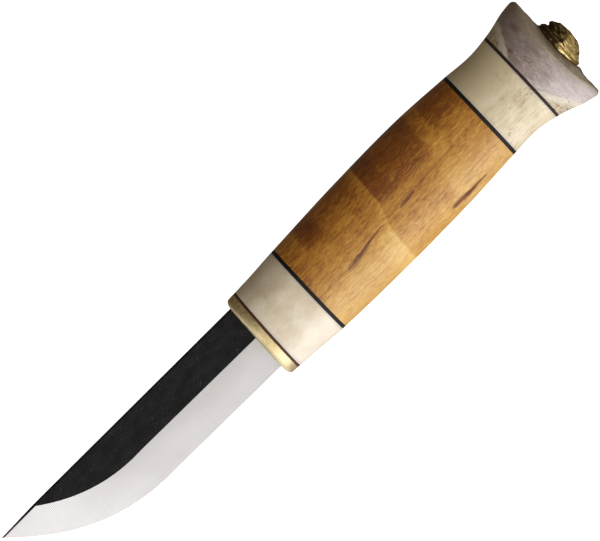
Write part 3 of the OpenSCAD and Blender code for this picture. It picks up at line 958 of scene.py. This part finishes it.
def crown_antler_material():
    """Crown antler: a grey-lilac spongy core between ivory corners, with a pale sawn end."""
    p = Paint("crown_antler", roughness=0.42, specular=0.4, coat=0.08, coat_roughness=0.25)
    bent = p.bent((1.2, 1.8), 0.35)
    cloud = p.noise((0.32, 0.16), 5.0, 0.6, vector=bent)
    sponge = p.noise((2.2, 1.4), 4.0, 0.65, vector=bent)
    brushed = p.noise((1.9, 0.35), 4.0, 0.65, 0.6, bent)
    rust = p.noise((0.8, 0.5), 3.0, vector=bent)
    mottle = p.noise((1.0, 0.7), 5.0, 0.7, vector=bent)
    dots = p.cells((1.5, 1.6), bent)
    shaded = p.y.ease(-4.0, 13.0)
    end_gap = end_x_node(p) - p.x
    tone = cloud * 0.72 + sponge * 0.6 - 0.16 + brushed.swing(0.6)
    core = p.tinted(
        p.ramp(tone, (0.22, (108, 94, 88)), (0.45, (154, 140, 136)), (0.58, (180, 168, 167)),
               (0.8, (206, 197, 197))),
        # Painted shade towards the spine, and painted light towards the edge side
        ((94, 85, 79), p.y.ease(0.0, 12.0) * 0.74),
        ((202, 196, 200), p.y.ease(5.0, -12.0) * 0.42),
        ((112, 76, 60), rust.ease(0.56, 0.74) * p.y.ease(-4.0, 4.0) * 0.45),
    )
    # More beige towards the sawn end
    beige = p.blend(shaded, srgb(146, 138, 132), srgb(134, 123, 104))
    core = p.blend(end_gap.ease(3.6, 0.4) * 0.55, core, beige)

    # Ivory corners beside the liner, dirty and pitted where they are deepest
    under = p.z.ease(1.0, -3.0) * -1.4
    gap = p.math("MAXIMUM", *(
        p.x * a + p.y * b + c + cloud.swing(1.6) + under for a, b, c in CORNER_LINES
    ))
    deep = gap.ease(1.0, 2.2)
    ivory = p.tinted(
        p.ramp(tone, (0.25, (164, 156, 137)), (0.5, (198, 191, 177)), (0.8, (221, 217, 208))),
        ((166, 142, 100), deep * brushed.ease(0.35, 0.65)),
        ((86, 58, 36), dots.ease(0.42, 0.16) * sponge.ease(0.4, 0.56) * deep * 0.85),
        ((96, 70, 42), mottle.ease(0.48, 0.6) * deep * 0.6),
        # Painted shade towards the spine
        ((112, 100, 74), p.y.ease(3.0, 13.0) * 0.5),
    )
    colour = p.blend(gap.ease(-0.25, 0.35), core, ivory)
    # Brown stains on the upper side, and dark grains near the liner
    frayed = p.z.ease(0.0, 2.0) * (sponge + cloud).ease(0.7, 1.1)
    for x, y, half_x, half_y, strength in CROWN_STAINS:
        inside = p.away((x, y, 0), (1 / half_x, 1 / half_y, 0)).ease(1.0, 0.1)
        colour = p.tinted(colour, ((92, 56, 44), inside * frayed * strength))
    near_liner = p.x.ease(BUTT_X + 4.5, BUTT_X) * 0.6 + 0.18
    grains = dots.ease(0.34, 0.12) * sponge.ease(0.46, 0.6) * near_liner
    colour = p.tinted(colour, ((78, 64, 58), grains))

    # Sawn end: pale, brown round the cap, and nearly black at its edge-side rim
    sawn = p.tinted(
        p.ramp(tone, (0.3, (138, 127, 114)), (0.6, (180, 171, 156))),
        ((100, 89, 74), shaded * 0.58),
        # Brown round the cap: partly grime, partly the cap's painted shadow
        ((90, 70, 40), p.away((0, CAP_MID_Y, 0), (0, 1, 1)).ease(9.8, 6.6) * 0.75),
        # Painted shade where the end's edge-side rim faces away from the light
        ((62, 50, 44), p.math("ABSOLUTE", p.z).ease(4.6, 1.5) * p.y.ease(-4.0, -8.0) * 0.8),
    )
    end = end_gap.ease(1.0, 0.1)
    colour = p.blend(end, colour, sawn)
    return p.finish(colour, 0.36 + sponge * 0.2 + end * 0.1, sponge - grains, 0.06)


def end_x_node(p):
    """The butt's curved end along X, in nodes."""
    drop = p.math("MAXIMUM", END_R**2 - p.z * p.z, 1.0)
    return p.math("SQRT", drop) + (END_X - END_R)


def fibre_material(name, dark, light, fleck):
    """Vulcanised fibre, cut flush: matte, with a fine mottle."""
    p = Paint(name, roughness=0.55, specular=0.25)
    mottle = p.noise(2.6, 4.0, 0.7)
    spots = p.noise((2.0, 3.4), 2.0).ease(0.62, 0.74)
    colour = p.tinted(p.ramp(mottle, (0.3, dark), (0.62, light)), (fleck, spots * 0.7))
    return p.finish(colour, 0.45 + mottle * 0.2, mottle, 0.03)


def bolster_material():
    """Brushed brass with dark tarnished blotches, and painted shade that darkens it towards the spine.
    """
    p = Paint("bolster_brass", roughness=0.34, metallic=1.0)
    brushed = p.noise((0.35, 9.0, 1.2), 3.0, 0.7, vector=p.turned(-50))
    stain = p.noise(0.55, 4.0, 0.6, vector=p.bent(1.5, 0.5))
    near_liner = (p.x - p.y * LEAN).ease(0.9, 2.3)
    # Painted shade towards the spine, added to the tarnished blotches
    spine_shade = p.y.ease(0.5, 10.5) * 0.34 * (near_liner * 0.6 + 0.4)
    tarnish_and_shade = (stain + spine_shade).ease(0.52, 0.88)
    colour = p.tinted(
        p.ramp(brushed, (0.3, (170, 152, 104)), (0.68, (218, 204, 162))),
        ((158, 141, 100), tarnish_and_shade * 0.85),
        # Painted light: paler towards the edge side
        ((222, 210, 182), p.y.ease(-2.0, -9.0) * 0.4),
        # Painted highlight along the front rim, and blotched beside the liner
        ((246, 234, 196), near_liner.ease(0.8, 0.0) * p.y.band(3.5, 2.5, 4.0) * 0.5),
        ((62, 50, 28), stain.ease(0.5, 0.62) * near_liner * p.y.ease(1.0, 5.0) * 0.5),
    )
    p.set("Metallic", 1.0 - tarnish_and_shade * 0.6)
    return p.finish(colour, 0.38 + brushed * 0.14 + tarnish_and_shade * 0.12, brushed, 0.012)


def cap_material():
    """Cast brass: bright where it is rubbed, dark brown in its folds, with painted shade on the spine
    side and underneath.
    """
    p = Paint("cap_brass", roughness=0.3, metallic=1.0)
    depth = p.node("Attribute", attribute_name="depth", output="Fac")
    rough = p.noise((2.4, 1.2), 4.0, 0.65)
    fine = p.noise((6.0, 1.6), 4.0, 0.7)
    mottle = p.noise((1.5, 1.1), 5.0, 0.7)
    above_foot = p.x - end_x_node(p)
    spine_shade = (p.y + rough.swing(7.0)).ease(-1.4, 4.0)
    # Darker in the folds and at random, with painted shade on the spine side and underneath, and grime
    # with a painted contact shadow at the foot
    grime_and_shade = (depth * 1.5 + spine_shade * 0.62 + rough * 0.25 + p.z.ease(2.2, 0.6) * 0.45
            + above_foot.ease(0.45, 0.15) * 0.8 + mottle.swing(1.7)).ease(0.3, 0.95)
    colour = p.tinted(
        p.ramp(fine, (0.3, (176, 152, 90)), (0.65, (222, 203, 146))),
        ((50, 37, 18), grime_and_shade * 0.95),
        # Brown in the corner at the foot, partly grime and partly painted shadow, and a painted
        # greenish reflection along the rim on the edge side
        ((112, 86, 40), (above_foot + (p.y + 1.9) * 0.3).ease(0.25, -0.15) * 0.75),
        ((112, 112, 70), (rough - p.y).ease(4.6, 6.8) * 0.6),
    )
    return p.finish(colour, 0.32 + grime_and_shade * 0.26 + fine * 0.1, fine + rough, 0.05)


def scale_material():
    """Black forge scale: matte, with faint grey rubs and short scratches."""
    p = Paint("forge_scale", roughness=0.6, specular=0.12)
    cloud = p.noise((0.25, 0.5), 4.0, 0.6)
    grit = p.noise(4.0, 4.0, 0.7)
    rub = p.noise((0.5, 1.1), 3.0, 0.65).ease(0.62, 0.76)
    colour = p.ramp(cloud * 0.7 + grit * 0.3, (0.35, (15, 16, 17)), (0.65, (33, 33, 36)))
    colour = p.tinted(colour, ((84, 84, 88), rub * grit.ease(0.45, 0.62) * 0.35))
    for degrees, shift in ((-38, 3.0), (55, 11.0)):
        scratched = p.vector("ADD", p.turned(degrees), triple(shift))
        nick = p.noise((0.8, 5.5, 0.8), 1.0, vector=scratched)
        colour = p.tinted(colour, ((92, 92, 95), nick.ease(0.7, 0.8) * 0.6))
    return p.finish(colour, 0.5 + grit * 0.2, cloud * 0.5 + grit * 0.5, 0.05)


def ground_material():
    """Satin ground steel: fine lines square to the blade, clearer in two places."""
    p = Paint("ground_steel", roughness=0.38, metallic=1.0)
    lines = p.noise((5.0, 0.06), 3.0, 0.7)
    haze = p.noise((0.07, 0.16), 3.0)
    # Belt marks at a regular pitch, fading towards the cutting edge
    phase = p.x * (2 * math.pi / BELT_PITCH) + haze * 5.0
    clear = p.x.band(-61.5, 5.5, 5.0) + p.x.band(-19.5, 3.5, 3.5) * 0.8 + 0.12
    from_edge = p.y.ease(EDGE_Y + 0.5, EDGE_Y + 9.0)
    marks = p.math("SINE", phase) * clear * (from_edge * 0.8 + 0.2)
    tone = lines.swing(clear * 0.22 + 0.1) + marks * 0.34 + haze.swing(0.26) + 0.5
    # Scale left along the spine, where the bevel runs out towards the tip
    slope = (TIP[1] - SPINE_BEND[1]) / (TIP[0] - SPINE_BEND[0])
    below = p.x * slope + (SPINE_BEND[1] - slope * SPINE_BEND[0]) - p.y
    kept = p.node("MapRange", {"Value": p.x, "From Min": TIP[0], "From Max": SPINE_BEND[0],
                               "To Min": 0.45, "To Max": 0.72})
    soot = (below - kept).ease(0.06, -0.06) * p.x.ease(-66.0, -68.5)
    colour = p.tinted(
        p.ramp(tone, (0.2, (164, 164, 167)), (0.5, (189, 189, 192)), (0.8, (210, 210, 213))),
        # A little darker in the bevel's upper part
        ((156, 154, 154), p.y.ease(-7.0, 1.0) * p.x.ease(-66.0, -46.0) * 0.42),
        ((30, 30, 32), soot),
    )
    p.set("Metallic", 1.0 - soot)
    return p.finish(colour, 0.34 + lines * 0.1 + soot * 0.2, lines + marks * 0.3, 0.006)


def resin_material():
    """Cured adhesive round the tang: dull amber with small bubbles."""
    p = Paint("bedding_resin", specular=0.4)
    cloud = p.noise(0.6, 4.0)
    bubbles = p.cells(1.4).ease(0.25, 0.1)
    amber = p.ramp(cloud, (0.3, (176, 150, 96)), (0.7, (208, 188, 140)))
    colour = p.tinted(amber, ((226, 212, 176), bubbles * 0.5))
    return p.finish(colour, 0.45, cloud + bubbles, 0.05)


def washer_material():
    """Plain washer brass, lightly tarnished, with turning marks."""
    p = Paint("washer_brass", roughness=0.35, metallic=1.0)
    stain = p.noise(0.7, 4.0)
    from_axis = p.away((0, TANG_END_Y, 0), (0, 1, 1))
    colour = p.ramp(stain, (0.35, (150, 124, 62)), (0.6, (206, 182, 110)))
    return p.finish(colour, 0.3 + stain * 0.15, p.math("SINE", from_axis * 30.0), 0.008)


# ---- Assembly ----

def paint(piece, *materials):
    piece.data.materials.clear()
    for material in materials:
        piece.data.materials.append(material)


def place(piece, slot, *nodes):
    """The piece rides on the knife's one body and stands for these CAD nodes."""
    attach(piece, "root")
    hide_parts(*nodes)


def ground_faces(piece):
    """Second material for the faces of the two bevels."""
    flat_lean = 0.02
    for face in piece.data.polygons:
        n = face.normal
        x, y = face.center.x / MM, face.center.y / MM
        in_front = x < LEAN * y + 0.01
        faces_edge = abs(n.z) < 1 - flat_lean**2 and n.y < 0.35 and abs(n.x) < 0.9
        if in_front and faces_edge:
            face.material_index = 1


brown_fibre = fibre_material("brown_fibre", (42, 22, 19), (80, 48, 38), (140, 108, 92))
dark_fibre = fibre_material("dark_fibre", (22, 13, 14), (46, 29, 30), (84, 62, 60))
black_fibre = fibre_material("black_fibre", (7, 7, 9), (16, 16, 18), (34, 32, 33))

blade = make_blade()
paint(blade, scale_material(), ground_material())
ground_faces(blade)
place(blade, "blade_steel", "blade")

bolster = make_bolster()
paint(bolster, bolster_material())
place(bolster, "bolster_brass", "bolster")

# The blocks from front to back; each ends where the next begins
BLOCKS = [
    # CAD node, piece, slot, material, hole, front seam and its lean
    ("front_liner", "brown_liner_front", "liner_fibre", brown_fibre, tang_slot, LINER_X, LEAN),
    ("front_antler", "antler_block_front", "front_antler_bone", front_antler_material(), channel,
     ANTLER_X, LEAN),
    ("front_spacer", "black_spacer_front", "spacer_fibre", black_fibre, channel, SPACER_X, 0),
    ("birch_grip", "birch_block", "curly_birch", birch_material(), channel, BIRCH_X, 0),
    ("rear_spacer", "black_spacer_rear", "spacer_fibre", black_fibre, channel, REAR_SPACER_X, 0),
    ("rear_antler", "antler_block_rear", "rear_antler_bone", rear_antler_material(), channel,
     REAR_ANTLER_X, 0),
    ("butt_liner", "brown_liner_rear", "liner_fibre", dark_fibre, channel, BUTT_LINER_X, 0),
]
back_seams = [row[-2:] for row in BLOCKS[1:]] + [(BUTT_X, 0)]
for (node, name, slot, material, hole, *front), back in zip(BLOCKS, back_seams):
    piece = block(name, hole, *front, *back)
    paint(piece, material)
    place(piece, slot, node)

butt = make_antler_butt()
paint(butt, crown_antler_material())
place(butt, "crown_antler", "antler_butt")

cap = make_cap()
paint(cap, cap_material())
place(cap, "cap_brass", "pommel_cap")

for node, material in (("tang_bedding", resin_material()), ("rivet_washer", washer_material())):
    paint(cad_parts[node], material)


# ---- Floor, light and camera, in metres ----

lowest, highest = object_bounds()
middle = (lowest + highest) / 2
FLOOR_REACH = 3.0
# Area lights: name, direction from the knife, distance, width, height and glow
SOFTBOXES = [
    ("key", (0.1, -0.88, 0.45), 0.9, 1.2, 0.9, 1.68),
    ("overhead", (0.05, -0.3, 0.95), 0.8, 0.8, 0.5, 0.5),
    ("tip_fill", (-0.45, -0.22, 0.87), 0.8, 0.4, 0.5, 1.2),
]
# Glows of the surroundings: direction, the cosines between which each grows, and its strengths
GLOWS = [((0.1, -0.9, 0.42), -0.5, 0.9, 0.16, 0.55), ((-0.92, -0.3, -0.25), 0.45, 0.95, 0.0, 1.1)]
DIM_TINT, BRIGHT_TINT = (1.0, 0.74, 0.45, 1), (1.0, 1.0, 1.0, 1)
# Camera: distance, width of its view, tilt towards the butt, the handle's climb, and its aim
# beside the knife's middle
CAMERA_DISTANCE, VIEW_WIDTH = 1.5, 0.15
CAMERA_TILT, CAMERA_ROLL = math.radians(1.6), math.radians(43.3)
AIM_X, AIM_Y = 5.15 * MM, 3.18 * MM


def set_pose(item, right, up, back, position):
    """Turns an object so that its own axes lie along three directions, and moves it."""
    turn = Matrix((right, up, back)).transposed()
    item.matrix_world = Matrix.Translation(position) @ turn.to_4x4()


def make_floor():
    """A plain pale floor, level with the knife's lowest point."""
    reach = FLOOR_REACH
    mesh = bpy.data.meshes.new("floor")
    corners = [(-reach, -reach, 0), (reach, -reach, 0), (reach, reach, 0), (-reach, reach, 0)]
    mesh.from_pydata(corners, [], [(0, 1, 2, 3)])
    floor = linked("floor", mesh)
    floor.location = (middle.x, middle.y, lowest.z)
    p = Paint("pale_floor", roughness=0.9, specular=0.1)
    p.set("Base Color", srgb(244, 244, 244))
    p.set("Emission Color", srgb(255, 255, 255))
    p.set("Emission Strength", 1.0)
    mesh.materials.append(p.material)
    # As in a cut-out product photograph, the floor sends no light back up onto the knife
    floor.visible_diffuse = False
    floor.visible_glossy = False
    floor.visible_shadow = False


def softbox(name, direction, distance, width, height, glow):
    """A large area light that faces the knife; glow is the brightness of its surface."""
    data = bpy.data.lights.new(name, "AREA")
    data.shape = "RECTANGLE"
    data.size = width
    data.size_y = height
    data.energy = glow * 4 * width * height
    lamp = linked(name, data)
    towards = Vector(direction).normalized()
    right = (Vector((1, 0, 0)) - towards * towards.x).normalized()
    set_pose(lamp, right, towards.cross(right), towards, middle + towards * distance)
    lamp.visible_camera = False


def make_world():
    """Soft surroundings, bright on the edge side and low in front of the tip, dim elsewhere."""
    world = bpy.data.worlds.new("studio")
    bpy.context.scene.world = world
    world.use_nodes = True
    nodes = Nodes(world.node_tree)
    view = nodes.node("TexCoord", output="Generated")
    strength = 0.0
    for direction, *growth in GLOWS:
        nearness = nodes.vector("DOT_PRODUCT", view, Vector(direction).normalized(), output=1)
        strength += nearness.ease(*growth)
    # What the camera sees directly is plain and bright
    seen = nodes.node("LightPath", output="Is Camera Ray")
    background = world.node_tree.nodes["Background"].inputs
    nodes.feed(background["Color"], nodes.blend(strength, DIM_TINT, BRIGHT_TINT))
    nodes.feed(background["Strength"], nodes.node("Mix", {0: seen, 2: strength, 3: 1.0}))


def make_camera():
    """Straight above, tilted a little towards the butt, with the handle climbing to the right."""
    data = bpy.data.cameras.new("camera")
    camera = linked("camera", data)
    data.sensor_width = 36
    data.lens = data.sensor_width * CAMERA_DISTANCE / VIEW_WIDTH
    aim = Vector((middle.x + AIM_X, middle.y + AIM_Y, 0))
    back = Vector((math.sin(CAMERA_TILT), 0, math.cos(CAMERA_TILT)))
    right = Vector((math.cos(CAMERA_ROLL), -math.sin(CAMERA_ROLL), 0))
    right = (right - back * right.dot(back)).normalized()
    set_pose(camera, right, back.cross(right), back, aim + back * CAMERA_DISTANCE)
    bpy.context.scene.camera = camera


make_floor()
for settings in SOFTBOXES:
    softbox(*settings)
make_world()
make_camera()
bpy.context.scene.view_settings.view_transform = "Standard"
